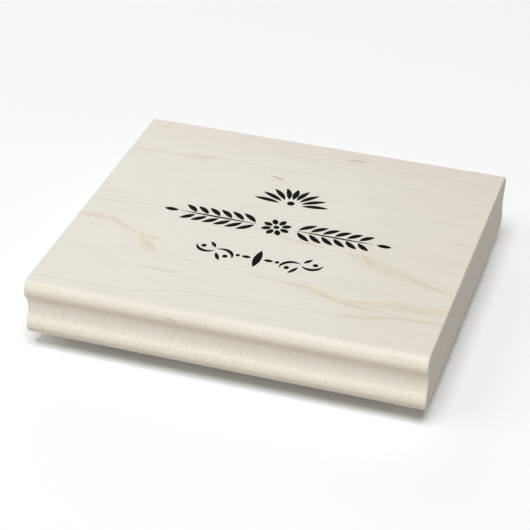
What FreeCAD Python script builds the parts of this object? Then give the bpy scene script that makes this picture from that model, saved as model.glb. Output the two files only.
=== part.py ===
import FreeCAD, Part

# Wood-mounted rubber stamp: a maple block with a finger cove routed along both long sides,
# a print on its top that shows what the stamp prints, and a rubber die on a foam cushion below.
#
# Millimetres, +Z up. The origin lies in the printing face, under the middle of the stamp.
# X runs along the finger coves and Y across them.

import math
import os
import re

import Sketcher
from FreeCAD import Vector

drivingSizes = (
    # block
    ("block_length", 124.3),
    ("block_width", 113.0),
    ("block_height", 19.05),
    ("bead_radius", 4.75),
    ("cove_radius", 6.3),
    ("lip_radius", 2.8),
    ("cove_depth", 2.15),
    ("lip_inset", 0.6),
    ("cove_drop", 9.9),
    ("top_round", 3.2),
    ("bottom_round", 2.5),
    ("sanded_edge", 0.4),
    # stack under the block
    ("relief_height", 1.0),
    ("rubber_floor", 1.3),
    ("adhesive_thickness", 0.12),
    ("foam_thickness", 3.2),
    ("die_end_setback", 8.0),
    ("die_side_setback", 11.5),
    ("die_corner", 4.0),
    # design: three rows, the middle one a little in front of the block's centre line
    ("ink_thickness", 0.05),
    ("row_pitch", 19.6),
    ("row_shift", -1.5),
    ("palmette_side_leaves", 4),
    ("palmette_height", 10.4),
    ("palmette_reach", 12.6),
    ("palmette_leaf_width", 2.0),
    ("rosette_petals", 8),
    ("rosette_radius", 4.9),
    ("rosette_petal_width", 1.95),
    ("garland_reach", 37.4),
    ("garland_leaf_pitch", 3.95),
    ("garland_leaf_length", 6.6),
    ("garland_leaf_width", 1.9),
    ("stem_width", 0.75),
    ("flourish_height", 9.8),
    ("flourish_reach", 20.3),
    ("scroll_width", 1.25),
)

doc = FreeCAD.newDocument("rubber_stamp")


# ---- sizes ----

sheet = doc.addObject("Spreadsheet::Sheet", "Sizes")
for row, (alias, value) in enumerate(drivingSizes, start=1):
    sheet.set("A%d" % row, alias)
    sheet.set("B%d" % row, str(value))
    sheet.setAlias("B%d" % row, alias)
doc.recompute()


def size(alias):
    return float(getattr(sheet, alias))


def formula(text):
    """An expression in which every driving size is read from the sheet."""
    for alias, value in drivingSizes:
        text = re.sub(r"\b%s\b" % alias, "Sizes." + alias, text)
    return text


# How high and deep the three tangent arcs of the finger cove reach.
beadRise = "sqrt(cove_depth * (2 * bead_radius + 2 * cove_radius - cove_depth))"
lipRise = (
    "sqrt((cove_depth - lip_inset)"
    " * (2 * cove_radius + 2 * lip_radius - cove_depth + lip_inset))"
)

# The rounds at the top and bottom of the profile stay inside the straight land left for them.
topRound = "min(top_round; 0.95 * (cove_drop - %s))" % beadRise
bottomRound = "min(bottom_round; 0.8 * (block_height - cove_drop - %s))" % lipRise

dieLength = "block_length - 2 * die_end_setback"
dieWidth = "block_width - 2 * die_side_setback"

# Height at which each layer of the stack starts, from the printing face up.
dieTop = "relief_height + rubber_floor"
foamBottom = dieTop + " + adhesive_thickness"
foamTop = foamBottom + " + foam_thickness"
blockBottom = foamTop + " + adhesive_thickness"
blockTop = blockBottom + " + block_height"


# ---- document helpers ----

def newBody(label, height):
    body = doc.addObject("PartDesign::Body", label)
    body.Label = label
    body.setExpression("Placement.Base.z", formula(height))
    return body


def originPlane(body, role):
    return next(item for item in body.Origin.OriginFeatures if item.Role == role)


def newSketch(body, name, role):
    sketch = body.newObject("Sketcher::SketchObject", name)
    sketch.AttachmentSupport = [(originPlane(body, role), "")]
    sketch.MapMode = "FlatFace"
    return sketch


def drive(sketch, kind, elements, name, text):
    """Adds a named dimension that follows the sheet."""
    index = sketch.addConstraint(Sketcher.Constraint(kind, *elements, measured(text)))
    sketch.renameConstraint(index, name)
    sketch.setExpression("Constraints." + name, formula(text))


def pad(body, sketch, name, length):
    feature = body.newObject("PartDesign::Pad", name)
    feature.Profile = sketch
    feature.setExpression("Length", formula(length))
    body.Tip = feature
    return feature


def measured(text):
    """The present value of a formula, for geometry that is drawn before its constraints."""
    value = sheet.evalExpression(formula(text))
    return float(getattr(value, "Value", value))


# ---- design, shared by the print and the die ----
#
# A mark is a dot (x, y, radius) or a stroke (x1, y1, x2, y2, leftBow, rightBow): two arcs between
# the same two tips, each bowed so far to the left of the line from the first tip to the second.
# Bows of opposite sign make a leaf, and bows of one sign make a crescent.

def polar(x, y, radius, degrees):
    angle = math.radians(degrees)
    return x + radius * math.cos(angle), y + radius * math.sin(angle)


def mirrored(marks):
    """The same marks on the other side of the Y axis."""
    twins = []
    for mark in marks:
        if len(mark) == 3:
            x, y, radius = mark
            twins.append((-x, y, radius))
        else:
            x1, y1, x2, y2, leftBow, rightBow = mark
            twins.append((-x1, y1, -x2, y2, -leftBow, -rightBow))
    return twins


def palmette(rowY):
    """An upright leaf in a fan of curved leaves, over a small bud."""
    height = size("palmette_height")
    reach = size("palmette_reach")
    halfWidth = size("palmette_leaf_width") / 2
    count = int(size("palmette_side_leaves"))
    rootY = rowY - height / 2
    hub = 0.36 * height
    budRadius = 0.12 * height
    lowest = 8.0
    step = (90.0 - lowest) / count
    fan = []
    for index in range(1, count + 1):
        angle = 90.0 - step * index
        tipRadius = height + (reach - height) * index / count
        inner = polar(0, rootY, hub, angle)
        outer = polar(0, rootY, tipRadius, angle)
        fan.append((*inner, *outer, 1.25 * halfWidth, -0.55 * halfWidth))
    upright = (0, rootY + hub, 0, rootY + height, halfWidth, -halfWidth)
    return [upright, (0, rootY + budRadius, budRadius)] + fan + mirrored(fan)


def rosette(rowY):
    """A ring of petals round an eye."""
    radius = size("rosette_radius")
    halfWidth = size("rosette_petal_width") / 2
    count = int(size("rosette_petals"))
    marks = [(0, rowY, 0.2 * radius)]
    for index in range(count):
        angle = 360.0 / count * (index + 0.5)
        inner = polar(0, rowY, 0.33 * radius, angle)
        outer = polar(0, rowY, radius, angle)
        marks.append((*inner, *outer, halfWidth, -halfWidth))
    return marks


def garland(rowY):
    """A stem with pairs of leaves that get shorter outwards, and a leaf at its end."""
    start = 1.25 * size("rosette_radius")
    reach = size("garland_reach")
    pitch = size("garland_leaf_pitch")
    leafLength = size("garland_leaf_length")
    leafWidth = size("garland_leaf_width")
    halfStem = size("stem_width") / 2
    endLeaf = 0.73 * leafLength
    leafGap = 0.3
    leafAngle = 40.0
    stemEnd = reach - endLeaf - 2 * leafGap
    count = int((stemEnd - start - leafWidth) / pitch)
    side = [(start, rowY, stemEnd, rowY, halfStem, -halfStem)]
    side.append((reach - endLeaf, rowY, reach, rowY, leafWidth / 2, -leafWidth / 2))
    for index in range(count):
        x = start + leafWidth / 2 + pitch * index
        length = leafLength * (1 - 0.035 * index)
        for up in (1, -1):
            foot = (x, rowY + up * (halfStem + leafGap))
            tip = polar(*foot, length, up * leafAngle)
            side.append((*foot, *tip, up * 0.66 * leafWidth, -up * 0.34 * leafWidth))
    return side + mirrored(side)


def flourish(rowY):
    """An upright leaf between two S-shaped scrolls with berries and small leaves."""
    halfHeight = size("flourish_height") / 2
    reach = size("flourish_reach")
    thick = size("scroll_width")
    bow = 0.14 * reach
    upright = (0, rowY - halfHeight, 0, rowY + halfHeight, thick, -thick)

    def at(share, rise):
        return share * reach, rowY + rise * halfHeight

    side = [
        (*at(0.10, 0), *at(0.25, 0), 0.6 * thick, -0.6 * thick),
        (*at(0.31, 0), 0.55 * thick),
        (*at(0.375, -0.53), *at(0.67, 0.24), bow, bow - thick),
        (*at(0.685, 0.12), *at(1.0, 0.5), -bow, thick - bow),
        (*at(0.485, -0.38), 0.68 * thick),
        (*at(0.885, 0.42), 0.68 * thick),
        (*at(0.70, 0.42), *at(0.81, 1.0), 0.6 * thick, -0.4 * thick),
        (*at(0.65, -0.12), *at(0.54, -0.95), 0.6 * thick, -0.4 * thick),
    ]
    return [upright] + side + mirrored(side)


def designMarks():
    middleY = size("row_shift")
    pitch = size("row_pitch")
    rows = palmette(middleY + pitch) + rosette(middleY) + garland(middleY)
    return rows + flourish(middleY - pitch)


def drawDesign(sketch):
    """Draws every mark, and ties the two arcs of each stroke together at their tips."""
    for mark in designMarks():
        if len(mark) == 3:
            x, y, radius = mark
            sketch.addGeometry(Part.Circle(Vector(x, y, 0), Vector(0, 0, 1), radius))
            continue
        x1, y1, x2, y2, leftBow, rightBow = mark
        first = Vector(x1, y1, 0)
        second = Vector(x2, y2, 0)
        along = (second - first).normalize()
        left = Vector(-along.y, along.x, 0)
        middle = (first + second) * 0.5
        for bow in (leftBow, rightBow):
            sketch.addGeometry(Part.Arc(first, middle + left * bow, second))


# ---- sub-parts ----

def rubberDie():
    """One piece of rubber: a floor, and the raised design that takes the ink."""
    body = newBody("rubber_die", "0")
    outline = roundedRectangle(body, "DieOutline")
    outline.setExpression("AttachmentOffset.Base.z", formula("relief_height"))
    pad(body, outline, "Floor", "rubber_floor")
    faces = newSketch(body, "PrintingFaces", "XY_Plane")
    drawDesign(faces)
    pad(body, faces, "Relief", "relief_height")


def roundedRectangle(body, name):
    """The outline that the die, the cushion and both adhesive films are cut to."""
    sketch = newSketch(body, name, "XY_Plane")
    halfLength = measured(dieLength) / 2
    halfWidth = measured(dieWidth) / 2
    corner = measured("die_corner")
    innerX = halfLength - corner
    innerY = halfWidth - corner
    # the four sides, anticlockwise from the front one, then the corner at the end of each
    ends = (
        ((-innerX, -halfWidth), (innerX, -halfWidth)),
        ((halfLength, -innerY), (halfLength, innerY)),
        ((innerX, halfWidth), (-innerX, halfWidth)),
        ((-halfLength, innerY), (-halfLength, -innerY)),
    )
    for start, end in ends:
        sketch.addGeometry(Part.LineSegment(Vector(*start, 0), Vector(*end, 0)))
    centres = ((innerX, -innerY), (innerX, innerY), (-innerX, innerY), (-innerX, -innerY))
    for index, centre in enumerate(centres):
        circle = Part.Circle(Vector(*centre, 0), Vector(0, 0, 1), corner)
        startAngle = math.radians(90 * index - 90)
        sketch.addGeometry(Part.ArcOfCircle(circle, startAngle, startAngle + math.pi / 2))
    for side in range(4):
        arc = side + 4
        sketch.addConstraint(Sketcher.Constraint("Tangent", side, 2, arc, 1))
        sketch.addConstraint(Sketcher.Constraint("Tangent", arc, 2, (side + 1) % 4, 1))
        sketch.addConstraint(Sketcher.Constraint("Vertical" if side % 2 else "Horizontal", side))
        if side > 0:
            sketch.addConstraint(Sketcher.Constraint("Equal", 4, arc))
    sketch.addConstraint(Sketcher.Constraint("Symmetric", 4, 3, 6, 3, -1, 1))
    drive(sketch, "Radius", (4,), "cornerRadius", "die_corner")
    drive(sketch, "DistanceX", (3, 1, 1, 1), "outlineLength", dieLength)
    drive(sketch, "DistanceY", (0, 1, 2, 1), "outlineWidth", dieWidth)
    return sketch


def layer(label, bottom, thickness):
    """A flat layer of the stack, cut to the die's outline."""
    body = newBody(label, bottom)
    pad(body, roundedRectangle(body, "Outline"), "Sheet", thickness)


def mapleBlock():
    """The half profile in front of the middle plane, along the whole length, then its mirror."""
    body = newBody("maple_block", blockBottom)
    profile = halfProfile(body)
    front = pad(body, profile, "FrontHalf", "block_length")
    front.SideType = "Symmetric"
    doc.recompute()
    whole = body.newObject("PartDesign::Mirrored", "BothHalves")
    whole.Originals = [front]
    whole.MirrorPlane = (originPlane(body, "XZ_Plane"), [""])
    body.Tip = whole
    doc.recompute()
    endFaces = [
        "Face%d" % number
        for number, face in enumerate(whole.Shape.Faces, start=1)
        if abs(abs(face.CenterOfMass.x) - size("block_length") / 2) < 0.01
    ]
    sanded = body.newObject("PartDesign::Fillet", "SandedEnds")
    sanded.Base = (whole, endFaces)
    sanded.setExpression("Radius", formula("sanded_edge"))
    body.Tip = sanded


def halfProfile(body):
    """Bottom line, bottom round, lip, cove, bead, top round and top line, all tangent.

    The sketch's own X is the block's Y, and its own Y is the height above the block's bottom.
    """
    sketch = newSketch(body, "HalfProfile", "YZ_Plane")
    height = measured("block_height")
    edge = -measured("block_width") / 2
    lipX = edge + measured("lip_inset")
    coveX = edge + measured("cove_depth - cove_radius")
    coveY = height - measured("cove_drop")
    topRadius = measured(topRound)
    bottomRadius = measured(bottomRound)
    beadRadius = measured("bead_radius")
    coveRadius = measured("cove_radius")
    lipRadius = measured("lip_radius")
    beadY = coveY + measured(beadRise)
    lipY = coveY - measured(lipRise)
    beadTurn = math.asin(measured(beadRise) / (beadRadius + coveRadius))
    lipTurn = math.asin(measured(lipRise) / (lipRadius + coveRadius))

    def line(x1, y1, x2, y2):
        sketch.addGeometry(Part.LineSegment(Vector(x1, y1, 0), Vector(x2, y2, 0)))

    def arc(x, y, radius, start, end):
        circle = Part.Circle(Vector(x, y, 0), Vector(0, 0, 1), radius)
        sketch.addGeometry(Part.ArcOfCircle(circle, start, end))

    line(0, 0, lipX + bottomRadius, 0)
    arc(lipX + bottomRadius, bottomRadius, bottomRadius, math.pi, 1.5 * math.pi)
    line(lipX, bottomRadius, lipX, lipY)
    arc(lipX + lipRadius, lipY, lipRadius, math.pi - lipTurn, math.pi)
    arc(coveX, coveY, coveRadius, -lipTurn, beadTurn)
    arc(edge + beadRadius, beadY, beadRadius, math.pi, math.pi + beadTurn)
    line(edge, beadY, edge, height - topRadius)
    arc(edge + topRadius, height - topRadius, topRadius, 0.5 * math.pi, math.pi)
    line(edge + topRadius, height, 0, height)
    line(0, height, 0, 0)

    tangencies = ((0, 2, 1, 2), (1, 1, 2, 1), (2, 2, 3, 2), (3, 1, 4, 1))
    tangencies += ((4, 2, 5, 2), (5, 1, 6, 1), (6, 2, 7, 2), (7, 1, 8, 1))
    for ends in tangencies:
        sketch.addConstraint(Sketcher.Constraint("Tangent", *ends))
    for ends in ((8, 2, 9, 1), (9, 2, 0, 1), (0, 1, -1, 1)):
        sketch.addConstraint(Sketcher.Constraint("Coincident", *ends))
    for level in (0, 8):
        sketch.addConstraint(Sketcher.Constraint("Horizontal", level))
    for upright in (2, 6, 9):
        sketch.addConstraint(Sketcher.Constraint("Vertical", upright))
    drive(sketch, "Radius", (1,), "bottomRound", bottomRound)
    drive(sketch, "Radius", (3,), "lipRadius", "lip_radius")
    drive(sketch, "Radius", (4,), "coveRadius", "cove_radius")
    drive(sketch, "Radius", (5,), "beadRadius", "bead_radius")
    drive(sketch, "Radius", (7,), "topRound", topRound)
    drive(sketch, "DistanceX", (6, 1, -1, 1), "halfWidth", "block_width / 2")
    drive(sketch, "DistanceX", (2, 1, -1, 1), "lipHalfWidth", "block_width / 2 - lip_inset")
    coveCentre = "block_width / 2 - cove_depth + cove_radius"
    drive(sketch, "DistanceX", (4, 3, -1, 1), "coveCentre", coveCentre)
    drive(sketch, "DistanceY", (-1, 1, 4, 3), "coveHeight", "block_height - cove_drop")
    drive(sketch, "DistanceY", (-1, 1, 8, 2), "blockHeight", "block_height")
    return sketch


def indexPrint():
    """The design as a thin film of ink on the block's top, one solid for each mark."""
    body = newBody("index_print", blockTop)
    body.AllowCompound = True
    marks = newSketch(body, "Marks", "XY_Plane")
    drawDesign(marks)
    pad(body, marks, "Ink", "ink_thickness")


rubberDie()
layer("die_adhesive", dieTop, "adhesive_thickness")
layer("foam_cushion", foamBottom, "foam_thickness")
layer("block_adhesive", foamTop, "adhesive_thickness")
mapleBlock()
indexPrint()
doc.recompute()


# ---- checks and files ----

for item in doc.Objects:
    if {"Invalid", "Error"} & set(item.State):
        raise RuntimeError("%s failed: %s" % (item.Label, item.State))

os.makedirs("parts", exist_ok=True)
for body in doc.findObjects("PartDesign::Body"):
    shape = body.Shape
    if shape.isNull() or not shape.isValid():
        raise RuntimeError("%s has no valid shape" % body.Label)
    shape.exportStep("parts/%s.step" % body.Label)
    box = shape.optimalBoundingBox()
    print(
        "%-15s %2d solids %10.2f mm3  x %.2f..%.2f  y %.2f..%.2f  z %.3f..%.3f" % (
            body.Label, len(shape.Solids), shape.Volume,
            box.XMin, box.XMax, box.YMin, box.YMax, box.ZMin, box.ZMax,
        )
    )
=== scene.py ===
import math

import bmesh
import bpy
from mathutils import Matrix, Vector


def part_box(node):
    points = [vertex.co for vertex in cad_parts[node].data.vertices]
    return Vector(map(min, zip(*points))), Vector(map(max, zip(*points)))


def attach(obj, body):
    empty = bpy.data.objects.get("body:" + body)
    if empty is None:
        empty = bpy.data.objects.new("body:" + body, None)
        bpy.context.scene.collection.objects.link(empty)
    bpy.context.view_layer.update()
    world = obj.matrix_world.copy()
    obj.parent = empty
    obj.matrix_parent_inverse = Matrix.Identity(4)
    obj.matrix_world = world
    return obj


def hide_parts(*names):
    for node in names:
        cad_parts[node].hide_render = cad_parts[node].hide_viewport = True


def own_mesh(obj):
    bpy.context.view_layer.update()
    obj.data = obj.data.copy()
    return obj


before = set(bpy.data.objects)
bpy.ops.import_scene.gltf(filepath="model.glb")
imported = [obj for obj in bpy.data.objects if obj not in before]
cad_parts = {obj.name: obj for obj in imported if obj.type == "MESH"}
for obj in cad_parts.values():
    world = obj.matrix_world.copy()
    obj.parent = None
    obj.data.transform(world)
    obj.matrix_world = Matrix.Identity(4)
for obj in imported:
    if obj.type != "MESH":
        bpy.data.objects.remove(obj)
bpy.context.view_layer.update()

scene = bpy.context.scene
mm = 0.001
weld = 0.002 * mm  # points nearer than this are joined
print("frame loaded:", ", ".join(sorted(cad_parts)))


class Amount:
    # a number or a socket in a node tree, so that a rule reads as plain arithmetic

    def __init__(self, tree, source):
        self.tree = tree
        self.source = source

    def through(self, operation, *others, clamp=False):
        node = self.tree.nodes.new("ShaderNodeMath")
        node.operation = operation
        node.use_clamp = clamp
        for socket, item in zip(node.inputs, (self, *others)):
            feed(self.tree, item, socket)
        return Amount(self.tree, node.outputs[0])

    def __add__(self, other):
        return self.through("ADD", other)

    def __sub__(self, other):
        return self.through("SUBTRACT", other)

    def __mul__(self, other):
        return self.through("MULTIPLY", other)

    def __truediv__(self, other):
        return self.through("DIVIDE", other)

    def __radd__(self, other):
        return self + other

    def __rmul__(self, other):
        return self * other

    def __rsub__(self, other):
        return Amount(self.tree, other) - self

    def __rtruediv__(self, other):
        return Amount(self.tree, other) / self

    def __neg__(self):
        return self * -1.0

    def ramp(self, low, high):
        # 0 at low and below, 1 at high and above, smooth between them
        node = self.tree.nodes.new("ShaderNodeMapRange")
        node.interpolation_type = "SMOOTHSTEP"
        feed(self.tree, self, node.inputs["Value"])
        node.inputs["From Min"].default_value = low
        node.inputs["From Max"].default_value = high
        return Amount(self.tree, node.outputs["Result"])


def feed(tree, item, socket):
    source = item.source if isinstance(item, Amount) else item
    if isinstance(source, bpy.types.NodeSocket):
        tree.links.new(source, socket)
    else:
        socket.default_value = source


def addNode(tree, kind, inputs=None, **settings):
    node = tree.nodes.new(kind)
    for name, value in settings.items():
        setattr(node, name, value)
    for name, value in (inputs or {}).items():
        feed(tree, value, node.inputs[name])
    return node


def newTree(name, kind, inlets, outlets):
    tree = bpy.data.node_groups.new(name, kind)
    for direction, sockets in (("INPUT", inlets), ("OUTPUT", outlets)):
        for label, socketKind in sockets:
            tree.interface.new_socket(label, in_out=direction, socket_type="NodeSocket" + socketKind)
    return tree, tree.nodes.new("NodeGroupInput").outputs, tree.nodes.new("NodeGroupOutput").inputs


def makePiece(name, tree, values):
    # runs a geometry tree once and keeps its result as a plain mesh whose faces point outwards
    piece = bpy.data.objects.new(name, bpy.data.meshes.new(name))
    scene.collection.objects.link(piece)
    modifier = piece.modifiers.new(name, "NODES")
    modifier.node_group = tree
    for item in tree.interface.items_tree:
        if item.in_out == "INPUT" and item.name in values:
            modifier[item.identifier] = values[item.name]
    evaluated = piece.evaluated_get(bpy.context.evaluated_depsgraph_get())
    mesh = bpy.data.meshes.new_from_object(evaluated)
    piece.modifiers.remove(modifier)
    piece.data = mesh
    mesh.name = name
    shell = bmesh.new()
    shell.from_mesh(mesh)
    bmesh.ops.recalc_face_normals(shell, faces=shell.faces)
    openEdges = sum(edge.is_boundary for edge in shell.edges)
    print(name + ":", len(shell.verts), "points,", openEdges, "open edges")
    shell.to_mesh(mesh)
    shell.free()
    return piece


def axesOf(tree, vector):
    parts = addNode(tree, "ShaderNodeSeparateXYZ", {"Vector": vector}).outputs
    return tuple(Amount(tree, part) for part in parts)


def stretched(tree, place, x, y, z):
    # place scaled so that one unit is x, y and z metres
    node = addNode(tree, "ShaderNodeVectorMath", operation="DIVIDE")
    tree.links.new(place, node.inputs[0])
    node.inputs[1].default_value = (x, y, z)
    return node.outputs["Vector"]


def noiseAt(tree, vector, detail=2.0, roughness=0.5):
    node = addNode(
        tree, "ShaderNodeTexNoise",
        {"Vector": vector, "Scale": 1.0, "Detail": detail, "Roughness": roughness},
    )
    return Amount(tree, node.outputs["Fac"])


def speckleGroup():
    # fine irregular grains, 0 to 1, for rubber, foam and film
    tree, inlets, outlets = newTree(
        "fineSpeckle", "ShaderNodeTree",
        (("Place", "Vector"), ("Grains Per Metre", "Float"), ("Sharpness", "Float")),
        (("Speckle", "Float"),),
    )
    noise = addNode(
        tree, "ShaderNodeTexNoise",
        {"Vector": inlets["Place"], "Scale": inlets["Grains Per Metre"], "Detail": 3.0, "Roughness": 0.6},
    )
    centred = Amount(tree, noise.outputs["Fac"]) - 0.5
    speckle = (centred * Amount(tree, inlets["Sharpness"]) + 0.5).through("ADD", 0.0, clamp=True)
    feed(tree, speckle, outlets["Speckle"])
    return tree


mapleFigure = {
    "heart": (0.017, -0.130),  # across and up to the middle of the tree, below the board
    "halfLength": 0.063,
    "ringWidth": 2.9 * mm,
    "lineHalfWidth": 0.62 * mm,
    # how far the growth lines wander slowly and quiver, and how far the end's rings wander
    "wander": 0.9 * mm,
    "quiver": 0.35 * mm,
    "ringWander": 1.2 * mm,
    "strandLean": 3.6 * mm,
    "streakShift": {"strand": 7.3, "patch": 3.1},  # so that no two streaks break up alike
    # length, width and height of each kind of mark in the wood, in mm
    "marks": {
        "wander": (30, 9, 9),
        "quiver": (4.5, 1.5, 1.5),
        "fading": (16, 10, 10),
        "strand": (5.5, 0.42, 4),
        "patch": (4, 1.5, 4),
        "thread": (10, 0.32, 0.32),
        "band": (22, 1.3, 1.3),
        "pore": (1.6, 0.13, 0.13),
        "ray": (0.80, 1.2, 0.95),
        "rayPatch": (9, 6, 5),
        "cloud": (60, 22, 22),
    },
    # growth lines on the top face, in mm: the stretch that shows, where each runs,
    # half the width of its gold streak, and how grey the line itself is
    "lines": (
        {"shows": (-62, 62), "grey": 0.45,
         "path": ((-62, 44.5), (-45, 45), (-20, 44), (0, 45), (20, 45.5), (42, 46.5), (62, 46.2))},
        {"shows": (-62, 62), "grey": 0.80,
         "path": ((-62, 32.2), (-50, 33), (-40, 33.3), (-34, 34.5), (-27, 35.2), (-15, 34.6), (-8, 34.2),
                  (4, 35), (20, 35.6), (30, 36.2), (62, 36.4)),
         "gold": ((-62, 1.0), (-55, 0.6), (-48, 0.5), (-42, 1.2), (-36, 1.8), (-31, 1), (-27, 0), (62, 0))},
        {"shows": (-62, 62), "grey": 0.70,
         "path": ((-62, -3), (-50, -2.2), (-42, -1), (-30, -0.8), (-8, -3.5), (4, -6.8), (16, -8),
                  (30, -10.5), (38, -13.8), (46, -16.5), (54, -19.5), (62, -22)),
         "gold": ((-62, 0), (0, 0.3), (5, 1), (14, 0.9), (20, 0.3), (26, 1.2), (31, 3.6), (40, 3.8),
                  (46, 2.9), (52, 1.9), (62, 0.8))},
        {"shows": (-62, -31), "grey": 0.30,
         "path": ((-62, -13.6), (-56, -13), (-51, -13.2), (-46, -15.6), (-41, -18), (-36, -19.6),
                  (-32, -20), (62, -20)),
         "gold": ((-62, 1.6), (-54, 2.4), (-49, 1.8), (-43, 1.2), (-39, 1), (-35, 1.5), (-31, 0), (62, 0))},
        {"shows": (-39, 50), "grey": 0.70,
         "path": ((-62, -19), (-40, -20), (-36, -23.5), (-33, -26), (-25, -28), (-15, -29), (0, -29.6),
                  (12, -31), (20, -32), (26, -34), (32, -36), (40, -37.2), (62, -37.5)),
         "gold": ((-62, 0), (-40, 0), (-38, 2), (-35, 3.4), (-32, 1.8), (-29, 0.3), (-18, 0.3), (8, 0.5),
                  (16, 1.2), (24, 2.3), (31, 2), (37, 1.5), (43, 1.2), (49, 0.2), (62, 0))},
        {"shows": (30, 62), "grey": 0.20,
         "path": ((-62, -36), (30, -35.5), (36, -34.6), (44, -33.4), (52, -32.8), (62, -32)),
         "gold": ((-62, 0), (28, 0), (33, 1), (40, 2.2), (48, 3), (56, 2.8), (62, 2))},
        {"shows": (-62, 62), "grey": 0.70,
         "path": ((-62, -51.5), (-28, -49.5), (-20, -46.8), (-6, -44.9), (13, -44.2), (24, -43.4),
                  (32, -42.6), (40, -41.2), (46, -39.2), (52, -38.6), (62, -38)),
         "gold": ((-62, 0), (26, 0.2), (32, 1), (40, 1.6), (45, 1.6), (47.5, 0.6), (51, 1.6), (62, 1.4))},
    ),
    # short flecks inside the wood, in mm: middle, half size, slope across the board, how dark
    "flecks": (
        {"middle": (-9.2, 28.8, 24.8), "size": (4.6, 0.9, 1.2), "slope": -0.36, "dark": 0.62},
        {"middle": (-15, 30.6, 24.8), "size": (4.0, 0.8, 1.2), "slope": -0.25, "dark": 0.12},
        {"middle": (12.4, 48.3, 24.8), "size": (6.4, 0.9, 1.2), "slope": 0.06, "dark": 0.50},
        {"middle": (10, 50.4, 24.8), "size": (14, 0.8, 1.2), "slope": 0.05, "dark": 0.10},
        {"middle": (-55, 50.4, 24.8), "size": (6, 0.9, 1.2), "slope": 0.15, "dark": 0.14},
        {"middle": (-19, 50.6, 24.8), "size": (5, 0.7, 1.2), "slope": 0.15, "dark": 0.12},
        {"middle": (-26.5, -36.5, 24.8), "size": (9, 0.8, 1.2), "slope": -0.04, "dark": 0.34},
        {"middle": (57, 7.4, 24.8), "size": (6, 1.6, 1.6), "slope": -0.10, "dark": 0.18},
        {"middle": (19.5, -13.7, 24.8), "size": (3, 1.1, 1.2), "slope": -0.05, "dark": 0.12},
        {"middle": (-15, -56.5, 21.6), "size": (2.7, 2, 0.55), "slope": 0.0, "dark": 0.42},
    ),
}


def drawnCurve(tree, along, points, low, high):
    # the height of a curve drawn through listed points, both in mm, read at along in metres
    node = tree.nodes.new("ShaderNodeFloatCurve")
    reach = mapleFigure["halfLength"]
    line = node.mapping.curves[0]
    ends = [((x * mm + reach) / (2 * reach), (height - low) / (high - low)) for x, height in points]
    for point, place in zip(line.points, (ends[0], ends[-1])):
        point.location = place
    for place in ends[1:-1]:
        line.points.new(*place)
    for point in line.points:
        point.handle_type = "AUTO_CLAMPED"
    node.mapping.update()
    feed(tree, (along + reach) / (2 * reach), node.inputs["Value"])
    return (Amount(tree, node.outputs["Value"]) * (high - low) + low) * mm


def strongest(masks):
    result = masks[0]
    for mask in masks[1:]:
        result = result.through("MAXIMUM", mask)
    return result


def streakMask(tree, figure, number, axes, away, reach):
    # one gold streak: strands that lie a little across it, broken up along its length
    x, y, z = axes
    noises = []
    for name, lean, detail, roughness in (("strand", figure["strandLean"], 3.0, 0.6),
                                          ("patch", None, 2.0, 0.5)):
        length, width, height = (size * mm for size in figure["marks"][name])
        across = away / width
        if lean:
            across = across + x / lean
        spot = addNode(
            tree, "ShaderNodeCombineXYZ",
            {"X": x / length, "Y": across, "Z": z / height + figure["streakShift"][name] * number},
        )
        noises.append(noiseAt(tree, spot.outputs["Vector"], detail=detail, roughness=roughness))
    strands, patches = noises
    within = 1.0 - away.through("ABSOLUTE") / (reach + 0.02 * mm)
    torn = 0.26 + strands.ramp(0.40, 0.66) * 0.74
    return within.ramp(0.0, 0.50) * torn * patches.ramp(0.22, 0.60) * (reach / (1.0 * mm)).ramp(0.05, 0.9)


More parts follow.
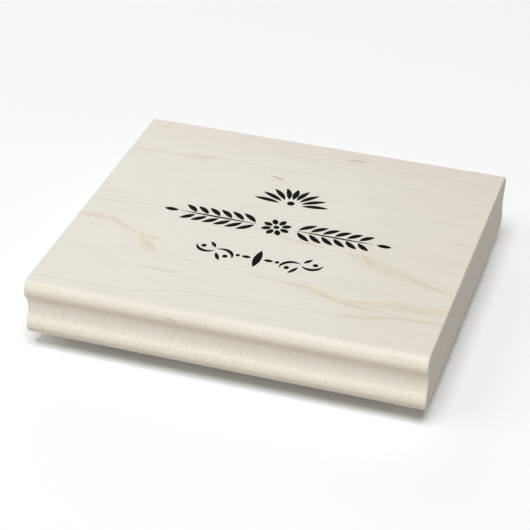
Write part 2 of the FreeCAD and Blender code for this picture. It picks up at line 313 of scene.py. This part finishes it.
def mapleGroup(figure):
    # flat-sawn maple, worked out through the whole block: growth lines and gold streaks bend down
    # round the heart of the tree, rays stand upright, pores open on the ends
    tree, inlets, outlets = newTree(
        "mapleGrain", "ShaderNodeTree",
        (("Place", "Vector"), ("Facing", "Vector"), ("Top", "Float")),
        (("Line", "Float"), ("Gold", "Float"), ("Fleck", "Float"), ("Ring", "Float"), ("Fibre", "Float"),
         ("Pore", "Float"), ("Ray", "Float"), ("Cloud", "Float"), ("Side", "Float"), ("End", "Float")),
    )
    place = inlets["Place"]
    x, y, z = axesOf(tree, place)
    facing = axesOf(tree, inlets["Facing"])
    end = facing[0].through("ABSOLUTE").ramp(0.6, 0.9)
    level = facing[2].through("ABSOLUTE").ramp(0.45, 0.98)
    side = (1.0 - level) * (1.0 - end)

    def mark(name, detail=2.0, roughness=0.5):
        sizes = (size * mm for size in figure["marks"][name])
        return noiseAt(tree, stretched(tree, place, *sizes), detail=detail, roughness=roughness)

    # the growth surface through a point meets the top face this far from the heart line
    heartY, heartZ = figure["heart"]
    top = Amount(tree, inlets["Top"])
    wander = mark("wander") - 0.5
    quiver = mark("quiver") - 0.5
    across = y - heartY
    below = (top - z) * (top + z - 2.0 * heartZ)
    squared = across * across - below
    meets = squared.through("MAXIMUM", 0.0).through("SQRT") * across.through("SIGN") + heartY
    meets = meets + wander * figure["wander"] + quiver * figure["quiver"]
    reaches = squared.ramp(0.0, 0.00003)
    lines = []
    streaks = []
    for number, drawn in enumerate(figure["lines"]):
        away = meets - drawnCurve(tree, x, drawn["path"], -60.0, 60.0)
        distance = away.through("ABSOLUTE")
        first, last = (place * mm for place in drawn["shows"])
        shows = x.ramp(first - 1 * mm, first + 3 * mm) * (1.0 - x.ramp(last - 3 * mm, last + 1 * mm))
        line = 1.0 - (distance / figure["lineHalfWidth"]).ramp(0.05, 1.0)
        lines.append(line * shows * drawn["grey"])
        if "gold" in drawn:
            reach = drawnCurve(tree, x, drawn["gold"], 0.0, 4.0)
            streaks.append(streakMask(tree, figure, number, (x, y, z), away, reach))
    fading = mark("fading").ramp(0.30, 0.60) * 0.7 + 0.3
    inside = reaches * (1.0 - side * 0.85)

    flecks = []
    for drawn in figure["flecks"]:
        centre = tuple(part * mm for part in drawn["middle"])
        offset = addNode(tree, "ShaderNodeVectorMath", {0: place, 1: centre}, operation="SUBTRACT")
        turned = addNode(
            tree, "ShaderNodeVectorRotate",
            {"Vector": offset.outputs["Vector"], "Angle": -math.atan(drawn["slope"])},
            rotation_type="Z_AXIS",
        )
        scaled = stretched(tree, turned.outputs["Vector"], *(part * mm for part in drawn["size"]))
        length = addNode(tree, "ShaderNodeVectorMath", {0: scaled}, operation="LENGTH").outputs["Value"]
        flecks.append((1.0 - (Amount(tree, length) + quiver * 1.1).ramp(0.10, 1.0)) * drawn["dark"])

    radius = (across * across + (z - heartZ) * (z - heartZ)).through("SQRT") + wander * figure["ringWander"]
    phase = (radius / figure["ringWidth"]).through("FRACT")
    rayPatches = mark("rayPatch", detail=1.0).ramp(0.30, 0.62) * 0.6 + 0.4
    results = {
        "Line": strongest(lines) * fading * inside,
        "Gold": strongest(streaks) * inside,
        "Fleck": strongest(flecks),
        "Ring": phase.ramp(0.55, 0.94) * (1.0 - phase.ramp(0.94, 1.0)),
        "Fibre": mark("thread", detail=3.0, roughness=0.6) * 0.6 + mark("band") * 0.4,
        "Pore": mark("pore", detail=1.0).ramp(0.64, 0.76),
        "Ray": mark("ray", detail=3.0, roughness=0.65).ramp(0.46, 0.68) * rayPatches,
        "Cloud": mark("cloud"),
        "Side": side,
        "End": end,
    }
    for name, result in results.items():
        feed(tree, result, outlets[name])
    return tree


grainGroup = mapleGroup(mapleFigure)
speckleTree = speckleGroup()


def newMaterial(name):
    material = bpy.data.materials.new(name)
    material.use_nodes = True
    tree = material.node_tree
    shader = tree.nodes["Principled BSDF"]
    return material, tree, shader, addNode(tree, "ShaderNodeTexCoord").outputs


def blended(tree, share, first, second):
    # colour from first to second as share goes from 0 to 1
    node = addNode(tree, "ShaderNodeMix", data_type="RGBA")
    feed(tree, share, node.inputs["Factor"])
    for socket, colour in ((node.inputs[6], first), (node.inputs[7], second)):
        feed(tree, colour if isinstance(colour, bpy.types.NodeSocket) else (*colour, 1.0), socket)
    return node.outputs[2]


def finished(tree, shader, colour, roughness, height, depth, specular=0.5):
    # joins the varying parts of a finish to its shader; height is 0 to 1 and depth is in metres
    tree.links.new(colour, shader.inputs["Base Color"])
    feed(tree, roughness, shader.inputs["Roughness"])
    bump = addNode(tree, "ShaderNodeBump", {"Strength": 1.0, "Distance": depth, "Height": height})
    tree.links.new(bump.outputs["Normal"], shader.inputs["Normal"])
    shader.inputs["Specular IOR Level"].default_value = specular


def woodMarks(tree, coordinates):
    grain = addNode(tree, "ShaderNodeGroup", node_tree=grainGroup)
    tree.links.new(coordinates["Object"], grain.inputs["Place"])
    tree.links.new(coordinates["Normal"], grain.inputs["Facing"])
    grain.inputs["Top"].default_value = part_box("maple_block")[1].z
    return {name: Amount(tree, grain.outputs[name]) for name in grain.outputs.keys()}


def speckled(tree, place, grainsPerMetre, sharpness):
    group = addNode(tree, "ShaderNodeGroup", node_tree=speckleTree)
    feed(tree, place, group.inputs["Place"])
    group.inputs["Grains Per Metre"].default_value = grainsPerMetre
    group.inputs["Sharpness"].default_value = sharpness
    return Amount(tree, group.outputs["Speckle"])


mapleLook = {
    "pale": (0.776, 0.744, 0.662),
    "warm": (0.752, 0.700, 0.612),
    "grey": (0.540, 0.505, 0.420),
    "gold": (0.640, 0.530, 0.310),
    "fleck": (0.330, 0.240, 0.150),
    "side": (0.830, 0.772, 0.672),
    "ray": (0.590, 0.505, 0.360),
    # painted shade on the sides, under the bead and along the lowest edge
    "underBeadShade": (0.520, 0.425, 0.310),
    "lowEdgeShade": (0.530, 0.470, 0.375),
    "end": (0.600, 0.552, 0.472),
    "endRing": (0.470, 0.400, 0.315),
    # painted shade: where the sides are painted darker under the bead and along the lowest edge, as heights
    # above the block's underside
    "underBeadShadeHeight": 13.5 * mm,
    "underBeadShadeReach": 3.7 * mm,
    "lowEdgeShadeFrom": 4.1 * mm,
    "lowEdgeShadeTo": 1.7 * mm,
    "fibreDepth": 0.03 * mm,
}


def mapleMaterial(look):
    material, tree, shader, coordinates = newMaterial("paleMaple")
    mark = woodMarks(tree, coordinates)
    side = mark["Side"]
    x, y, z = axesOf(tree, coordinates["Object"])
    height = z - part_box("maple_block")[0].z
    warm = x.ramp(0.010, 0.062) * 0.55 + y.ramp(0.036, 0.050) * 0.75
    warm = warm + mark["Cloud"].ramp(0.40, 0.70) * 0.25
    body = blended(tree, warm.through("MINIMUM", 1.0), look["pale"], look["warm"])
    # painted shade: the sides are darker under the bead and along the lowest edge
    underBeadShade = 1.0 - ((height - look["underBeadShadeHeight"]).through("ABSOLUTE") / look["underBeadShadeReach"]).ramp(0.0, 1.0)
    lowEdgeShade = 1.0 - height.ramp(look["lowEdgeShadeTo"], look["lowEdgeShadeFrom"])
    for share, tint in (
        (side, "side"),
        (underBeadShade * side * 0.66, "underBeadShade"),
        (lowEdgeShade * side * 0.95, "lowEdgeShade"),
        (mark["Line"] * 0.42, "grey"),
        (mark["Gold"] * 0.66, "gold"),
        (mark["Fibre"].ramp(0.44, 0.70) * 0.17, "grey"),
        (mark["Pore"] * (0.10 - side * 0.04), "grey"),
        (mark["Ray"] * (side * 0.34 + 0.03), "ray"),
        (mark["Fleck"] * 0.85, "fleck"),
    ):
        body = blended(tree, share, body, look[tint])
    endWood = blended(tree, mark["Ring"] * 0.35, look["end"], look["endRing"])
    endWood = blended(tree, mark["Ray"] * 0.25, endWood, look["pale"])
    body = blended(tree, mark["End"], body, endWood)
    roughness = 0.36 + mark["Fibre"] * 0.16 + mark["End"] * 0.24
    relief = mark["Fibre"] * 0.5 - mark["Pore"] * 0.5 - mark["Ray"] * side * 0.35
    finished(tree, shader, body, roughness, relief, look["fibreDepth"], specular=0.42)
    return material


inkLook = {
    "full": (0.004, 0.003, 0.002),
    "thin": (0.010, 0.008, 0.006),
    "depth": 0.02 * mm,
}


def inkMaterial(look):
    # the ink is thinner over the wood's raised fibres
    material, tree, shader, coordinates = newMaterial("blackPrint")
    fibre = woodMarks(tree, coordinates)["Fibre"]
    colour = blended(tree, fibre.ramp(0.50, 0.80), look["full"], look["thin"])
    finished(tree, shader, colour, 0.50 + fibre * 0.20, fibre, look["depth"], specular=0.06)
    return material


rubberLook = {
    "dull": (0.290, 0.080, 0.047),
    "bright": (0.350, 0.104, 0.062),
    "engraved": (0.150, 0.042, 0.028),
    "ground": (0.460, 0.150, 0.088),
    "soot": (0.090, 0.030, 0.022),
    "grain": (0.200, 0.060, 0.038),
    "grainsPerMetre": 5200.0,
    "cloudsPerMetre": 60.0,
    "passes": (30 * mm, 0.45 * mm, 1.0 * mm),
    "passPitch": 0.25 * mm,
    "groundTo": (0.15 * mm, 0.35 * mm),  # up the relief from the printing face
    "sootTo": (0.95 * mm, 1.05 * mm),
    "depth": 0.06 * mm,
}


def rubberMaterial(look):
    # a laser cuts the floor in fine passes and leaves soot on the relief's walls, and the printing
    # face is ground smooth
    material, tree, shader, coordinates = newMaterial("engravedRubber")
    place = coordinates["Object"]
    y, z = axesOf(tree, place)[1:]
    level = axesOf(tree, coordinates["Normal"])[2].through("ABSOLUTE").ramp(0.5, 0.9)
    fine = speckled(tree, place, look["grainsPerMetre"], 1.8)
    cloud = speckled(tree, place, look["cloudsPerMetre"], 2.4)
    passes = noiseAt(tree, stretched(tree, place, *look["passes"])).ramp(0.35, 0.65)
    printing = 1.0 - z.ramp(*look["groundTo"])
    floor = level * (1.0 - printing)
    reliefWall = (1.0 - level) * (1.0 - z.ramp(*look["sootTo"]))
    colour = blended(tree, cloud, look["dull"], look["bright"])
    for share, tint in (
        (floor * (passes * 0.35 + 0.15), "engraved"),
        (printing * level * 0.80, "ground"),
        (reliefWall * 0.55, "soot"),
        (fine * 0.40, "grain"),
    ):
        colour = blended(tree, share, colour, look[tint])
    scan = (y * (2 * math.pi / look["passPitch"])).through("SINE")
    relief = fine * 0.7 + scan * floor * 0.25 + passes * floor * 0.3
    roughness = 0.76 - printing * 0.26 + fine * 0.10
    finished(tree, shader, colour, roughness, relief, look["depth"], specular=0.40)
    return material


foamLook = {
    "dull": (0.430, 0.440, 0.450),
    "bright": (0.500, 0.508, 0.515),
    # the pit colour is painted shade in the opened cells
    "pit": (0.270, 0.280, 0.290),
    "cellsPerMetre": 3300.0,
    "cloudsPerMetre": 420.0,
    "depth": 0.09 * mm,
}


def foamMaterial(look):
    material, tree, shader, coordinates = newMaterial("greyFoam")
    place = coordinates["Object"]
    cells = addNode(
        tree, "ShaderNodeTexVoronoi",
        {"Vector": place, "Scale": look["cellsPerMetre"], "Randomness": 1.0}, feature="F1",
    )
    pit = 1.0 - Amount(tree, cells.outputs["Distance"]).ramp(0.10, 0.55)
    cloud = speckled(tree, place, look["cloudsPerMetre"], 2.0)
    colour = blended(tree, cloud, look["dull"], look["bright"])
    # painted shade: the opened cells are darker
    colour = blended(tree, pit * 0.45, colour, look["pit"])
    finished(tree, shader, colour, 0.82 + cloud * 0.12, 1.0 - pit, look["depth"], specular=0.30)
    return material


filmLook = {
    "thick": (0.560, 0.520, 0.420),
    "thin": (0.660, 0.625, 0.530),
    "smearsPerMetre": 900.0,
    "depth": 0.02 * mm,
}


def filmMaterial(look):
    material, tree, shader, coordinates = newMaterial("clearAdhesive")
    smear = speckled(tree, coordinates["Object"], look["smearsPerMetre"], 1.5)
    colour = blended(tree, smear, look["thick"], look["thin"])
    finished(tree, shader, colour, 0.22 + smear * 0.25, smear, look["depth"])
    return material


maple = mapleMaterial(mapleLook)
ink = inkMaterial(inkLook)
rubber = rubberMaterial(rubberLook)
foam = foamMaterial(foamLook)
film = filmMaterial(filmLook)
print("materials made")


block = {
    "Bead Radius": 4.75 * mm,
    "Cove Radius": 6.30 * mm,
    "Lip Radius": 2.80 * mm,
    "Cove Depth": 2.15 * mm,
    "Lip Inset": 0.60 * mm,
    "Cove Drop": 9.90 * mm,  # from the top face down to the middle of the cove
    "Top Round": 3.20 * mm,
    "Bottom Round": 2.50 * mm,
    "Arc Points": 26,
    "Length Steps": 90,
}
sandedEdge = 0.40 * mm  # how far sandpaper takes the sharp edges off


def mouldingTree():
    sizes = ("Length", "Width", "Height", "Underside", "Bead Radius", "Cove Radius", "Lip Radius",
             "Cove Depth", "Lip Inset", "Cove Drop", "Top Round", "Bottom Round")
    inlets = [(name, "Float") for name in sizes]
    inlets += [("Arc Points", "Int"), ("Length Steps", "Int"), ("Wood", "Material")]
    tree, inlet, outlet = newTree("mouldedBlock", "GeometryNodeTree", inlets, [("Block", "Geometry")])
    (length, width, height, underside, bead, cove, lip,
     depth, inset, drop, topRound, bottomRound) = (Amount(tree, inlet[name]) for name in sizes)
    edge = width * 0.5
    top = underside + height
    coveLevel = top - drop
    beadRise = (depth * (2.0 * bead + 2.0 * cove - depth)).through("SQRT")
    lipDepth = depth - inset
    lipRise = (lipDepth * (2.0 * cove + 2.0 * lip - lipDepth)).through("SQRT")
    beadTurn = (beadRise / (bead + cove)).through("ARCSINE")
    lipTurn = (lipRise / (lip + cove)).through("ARCSINE")
    quarter = math.pi / 2
    # centre across, centre up, radius, first angle, sweep: from the top face down the back side
    arcs = (
        (edge - topRound, top - topRound, topRound, quarter, -quarter),
        (edge - bead, coveLevel + beadRise, bead, 0.0, -beadTurn),
        (edge - depth + cove, coveLevel, cove, math.pi - beadTurn, beadTurn + lipTurn),
        (edge - inset - lip, coveLevel - lipRise, lip, lipTurn, -lipTurn),
        (edge - inset - bottomRound, underside + bottomRound, bottomRound, 0.0, -quarter),
    )
    halfSection = addNode(tree, "GeometryNodeJoinGeometry")
    for across, up, radius, start, sweep in reversed(arcs):
        arc = addNode(
            tree, "GeometryNodeCurveArc",
            {"Resolution": inlet["Arc Points"], "Radius": radius,
             "Start Angle": start, "Sweep Angle": sweep},
            mode="RADIUS",
        )
        centre = addNode(tree, "ShaderNodeCombineXYZ", {"X": across, "Y": up})
        moved = addNode(
            tree, "GeometryNodeTransform",
            {"Geometry": arc.outputs["Curve"], "Translation": centre.outputs["Vector"]},
        )
        tree.links.new(moved.outputs["Geometry"], halfSection.inputs["Geometry"])
    points = addNode(
        tree, "GeometryNodeCurveToPoints", {"Curve": halfSection.outputs["Geometry"]}, mode="EVALUATED"
    ).outputs["Points"]
    mirrored = addNode(
        tree, "GeometryNodeTransform", {"Geometry": points, "Scale": (-1.0, 1.0, 1.0)}
    ).outputs["Geometry"]
    bothSides = addNode(tree, "GeometryNodeJoinGeometry")
    tree.links.new(mirrored, bothSides.inputs["Geometry"])
    tree.links.new(points, bothSides.inputs["Geometry"])
    # points 0 to n-1 go down the back side, and the mirrored ones are taken in turn upwards
    count = Amount(tree, inlet["Arc Points"]) * float(len(arcs))
    index = Amount(tree, addNode(tree, "GeometryNodeInputIndex").outputs["Index"])
    mirroredShare = index.through("GREATER_THAN", count - 0.5)
    order = index + mirroredShare * (3.0 * count - 1.0 - 2.0 * index)
    section = addNode(
        tree, "GeometryNodePointsToCurves", {"Points": bothSides.outputs["Geometry"], "Weight": order}
    ).outputs["Curves"]
    closed = addNode(
        tree, "GeometryNodeSetSplineCyclic", {"Geometry": section, "Cyclic": True}
    ).outputs["Geometry"]
    upright = addNode(
        tree, "GeometryNodeTransform", {"Geometry": closed, "Scale": (-1.0, -1.0, 1.0)}
    ).outputs["Geometry"]
    ends = [addNode(tree, "ShaderNodeCombineXYZ", {"X": length * share}) for share in (-0.5, 0.5)]
    line = addNode(
        tree, "GeometryNodeCurvePrimitiveLine",
        {"Start": ends[0].outputs["Vector"], "End": ends[1].outputs["Vector"]},
    )
    path = addNode(
        tree, "GeometryNodeResampleCurve",
        {"Curve": line.outputs["Curve"], "Count": inlet["Length Steps"]},
    )
    swept = addNode(
        tree, "GeometryNodeCurveToMesh",
        {"Curve": path.outputs["Curve"], "Profile Curve": upright, "Fill Caps": True},
    )
    merged = addNode(
        tree, "GeometryNodeMergeByDistance", {"Geometry": swept.outputs["Mesh"], "Distance": weld}
    )
    single = addNode(tree, "GeometryNodeRealizeInstances", {"Geometry": merged.outputs["Geometry"]})
    wooden = addNode(
        tree, "GeometryNodeSetMaterial",
        {"Geometry": single.outputs["Geometry"], "Material": inlet["Wood"]},
    )
    tree.links.new(wooden.outputs["Geometry"], outlet["Block"])
    return tree


def makeBlock():
    low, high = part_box("maple_block")
    values = dict(block)
    values.update({
        "Length": high.x - low.x,
        "Width": high.y - low.y,
        "Height": high.z - low.z,
        "Underside": low.z,
        "Wood": maple,
    })
    piece = makePiece("mouldedBlock", mouldingTree(), values)
    bevel = piece.modifiers.new("sandedEdge", "BEVEL")
    bevel.width = sandedEdge
    bevel.segments = 3
    bevel.limit_method = "ANGLE"
    bevel.angle_limit = math.radians(60)
    for face in piece.data.polygons:
        face.use_smooth = True
    even = piece.modifiers.new("evenShading", "WEIGHTED_NORMAL")
    even.keep_sharp = True
    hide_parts("maple_block")
    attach(piece, "block")


makeBlock()
print("block made")


# a die-cut slab of foam: its cut edge bulges a little and shows the cells that the cut opened
cushion = {
    "Corner": 4.0 * mm,
    "Bulge": 0.16 * mm,
    "Cell Size": 0.42 * mm,
    "Cell Depth": 0.16 * mm,
    "Spacing": 0.20 * mm,  # between the mesh's points along the cut edge
    "Rows": 17,
    "Seed": 4,
}


def cushionTree():
    sizes = ("Length", "Width", "Underside", "Thickness", "Corner",
             "Bulge", "Cell Size", "Cell Depth", "Spacing")
    inlets = [(name, "Float") for name in sizes]
    inlets += [("Rows", "Int"), ("Seed", "Int"), ("Foam", "Material")]
    tree, inlet, outlet = newTree("foamCushion", "GeometryNodeTree", inlets, [("Cushion", "Geometry")])
    (length, width, underside, thickness, corner,
     bulge, cellSize, cellDepth, spacing) = (Amount(tree, inlet[name]) for name in sizes)
    sheet = addNode(tree, "GeometryNodeCurvePrimitiveQuadrilateral", {"Width": length, "Height": width})
    rounded = addNode(
        tree, "GeometryNodeFilletCurve",
        {"Curve": sheet.outputs["Curve"], "Count": 24, "Radius": corner}, mode="POLY",
    )
    outline = addNode(
        tree, "GeometryNodeResampleCurve", {"Curve": rounded.outputs["Curve"], "Length": spacing},
        mode="LENGTH",
    ).outputs["Curve"]
    # the sweep turns a profile's Y over, so the cut edge's top is at minus the thickness
    topEnd = addNode(tree, "ShaderNodeCombineXYZ", {"Y": -thickness})
    rise = addNode(
        tree, "GeometryNodeCurvePrimitiveLine", {"Start": topEnd.outputs["Vector"], "End": (0, 0, 0)}
    )
    stepped = addNode(
        tree, "GeometryNodeResampleCurve", {"Curve": rise.outputs["Curve"], "Count": inlet["Rows"]}
    )
    wall = addNode(
        tree, "GeometryNodeCurveToMesh",
        {"Curve": outline, "Profile Curve": stepped.outputs["Curve"]},
    ).outputs["Mesh"]

    # cells bite into the cut edge, less towards the glued faces
    place = addNode(tree, "GeometryNodeInputPosition").outputs["Position"]
    height = axesOf(tree, place)[2]
    share = (height / thickness).through("MAXIMUM", 0.0).through("MINIMUM", 1.0)
    swell = (share * (1.0 - share) * 4.0).through("SQRT")
    cells = addNode(
        tree, "ShaderNodeTexVoronoi",
        {"Vector": place, "Scale": 1.0 / cellSize, "W": Amount(tree, inlet["Seed"]) * 3.7},
        voronoi_dimensions="4D",
    )
    pit = 1.0 - Amount(tree, cells.outputs["Distance"]).ramp(0.15, 0.60)
    out = swell * bulge - pit * cellDepth * swell.through("MINIMUM", 1.0)
    normal = addNode(tree, "GeometryNodeInputNormal").outputs["Normal"]
    offset = addNode(tree, "ShaderNodeVectorMath", {0: normal, "Scale": out}, operation="SCALE")
    torn = addNode(
        tree, "GeometryNodeSetPosition", {"Geometry": wall, "Offset": offset.outputs["Vector"]}
    ).outputs["Geometry"]

    face = addNode(tree, "GeometryNodeFillCurve", {"Curve": outline}, mode="TRIANGLES").outputs["Mesh"]
    upward = addNode(tree, "ShaderNodeCombineXYZ", {"Z": thickness})
    topFace = addNode(
        tree, "GeometryNodeTransform", {"Geometry": face, "Translation": upward.outputs["Vector"]}
    )
    bottomFace = addNode(tree, "GeometryNodeFlipFaces", {"Mesh": face})
    joined = addNode(tree, "GeometryNodeJoinGeometry")
    for part in (torn, topFace.outputs["Geometry"], bottomFace.outputs["Mesh"]):
        tree.links.new(part, joined.inputs["Geometry"])
    merged = addNode(
        tree, "GeometryNodeMergeByDistance", {"Geometry": joined.outputs["Geometry"], "Distance": weld}
    )
    lift = addNode(tree, "ShaderNodeCombineXYZ", {"Z": underside})
    placed = addNode(
        tree, "GeometryNodeTransform",
        {"Geometry": merged.outputs["Geometry"], "Translation": lift.outputs["Vector"]},
    )
    single = addNode(tree, "GeometryNodeRealizeInstances", {"Geometry": placed.outputs["Geometry"]})
    foamed = addNode(
        tree, "GeometryNodeSetMaterial",
        {"Geometry": single.outputs["Geometry"], "Material": inlet["Foam"]},
    )
    tree.links.new(foamed.outputs["Geometry"], outlet["Cushion"])
    return tree


def makeCushion():
    low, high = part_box("foam_cushion")
    values = dict(cushion)
    values.update({
        "Length": high.x - low.x,
        "Width": high.y - low.y,
        "Underside": low.z,
        "Thickness": high.z - low.z,
        "Foam": foam,
    })
    piece = makePiece("dieCutCushion", cushionTree(), values)
    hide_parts("foam_cushion")
    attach(piece, "block")
    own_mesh(piece)


makeCushion()
print("cushion made")

# the machined pieces that stay as they are, with their finishes
for node, material in (
    ("index_print", ink), ("block_adhesive", film), ("die_adhesive", film), ("rubber_die", rubber),
):
    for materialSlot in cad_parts[node].material_slots:
        materialSlot.material = material


def makeFloor(reach, pale):
    mesh = bpy.data.meshes.new("floor")
    mesh.from_pydata(
        [(-reach, -reach, 0), (reach, -reach, 0), (reach, reach, 0), (-reach, reach, 0)],
        [], [(0, 1, 2, 3)],
    )
    plane = bpy.data.objects.new("floor", mesh)
    scene.collection.objects.link(plane)
    material, _, shader, _ = newMaterial("floorPaint")
    shader.inputs["Base Color"].default_value = (pale, pale, pale, 1.0)
    shader.inputs["Roughness"].default_value = 0.9
    mesh.materials.append(material)


studio = {
    "reach": 3.0,  # metres from the stamp to each lamp
    "width": 1.6,
    "floorReach": 3.0,
    "floorPale": 0.96,
    "fill": 0.115,
    "backdrop": 0.70,
    "lamps": (
        {"name": "keyLamp", "turn": 10, "rise": 68, "power": 76.0},
        {"name": "leftLamp", "turn": -55, "rise": 45, "power": 16.0},
        {"name": "backLamp", "turn": -150, "rise": 22, "power": 13.7},
    ),
}


def directionOf(turn, rise):
    # turn in degrees from straight in front towards the right, rise above the floor
    turn, rise = math.radians(turn), math.radians(rise)
    return Vector((math.sin(turn) * math.cos(rise), -math.cos(turn) * math.cos(rise), math.sin(rise)))


def makeLamp(studio, name, turn, rise, power):
    lamp = bpy.data.lights.new(name, "AREA")
    lamp.shape = "SQUARE"
    lamp.size = studio["width"]
    lamp.energy = power
    holder = bpy.data.objects.new(name, lamp)
    holder.location = directionOf(turn, rise) * studio["reach"]
    holder.rotation_euler = holder.location.to_track_quat("Z", "Y").to_euler()
    scene.collection.objects.link(holder)


def makeWorld(fill, backdrop):
    # a weak even fill for the light, with a paler backdrop where a low view looks past the floor
    world = bpy.data.worlds.new("studio")
    world.use_nodes = True
    tree = world.node_tree
    background = tree.nodes["Background"]
    background.inputs["Color"].default_value = (1.0, 1.0, 1.0, 1.0)
    seen = Amount(tree, addNode(tree, "ShaderNodeLightPath").outputs["Is Camera Ray"])
    feed(tree, seen * (backdrop - fill) + fill, background.inputs["Strength"])
    scene.world = world


view = {
    "turn": 16.983,  # degrees, from straight in front towards the right
    "rise": 32.425,
    "tilt": 1.190,
    "distance": 0.57575,
    "slideRight": -0.003696,
    "slideUp": 0.003493,
    "lens": 121.76,
}


def makeCamera(view, aim):
    tilt = math.radians(view["tilt"])
    back = directionOf(view["turn"], view["rise"])
    right = Vector((0, 0, 1)).cross(back).normalized()
    up = back.cross(right)
    tiltedRight = math.cos(tilt) * right + math.sin(tilt) * up
    tiltedUp = -math.sin(tilt) * right + math.cos(tilt) * up
    place = aim + back * view["distance"]
    place += tiltedRight * view["slideRight"] + tiltedUp * view["slideUp"]
    lens = bpy.data.cameras.new("camera")
    lens.lens = view["lens"]
    lens.sensor_width = 36.0
    lens.clip_start = 0.01
    camera = bpy.data.objects.new("camera", lens)
    turned = Matrix((tiltedRight, tiltedUp, back)).transposed()
    camera.matrix_world = Matrix.Translation(place) @ turned.to_4x4()
    scene.collection.objects.link(camera)
    scene.camera = camera


makeFloor(studio["floorReach"], studio["floorPale"])
makeCamera(view, Vector((0, 0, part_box("maple_block")[0].z)))
for lamp in studio["lamps"]:
    makeLamp(studio, **lamp)
makeWorld(studio["fill"], studio["backdrop"])
scene.view_settings.view_transform = "Standard"
print("stage made")
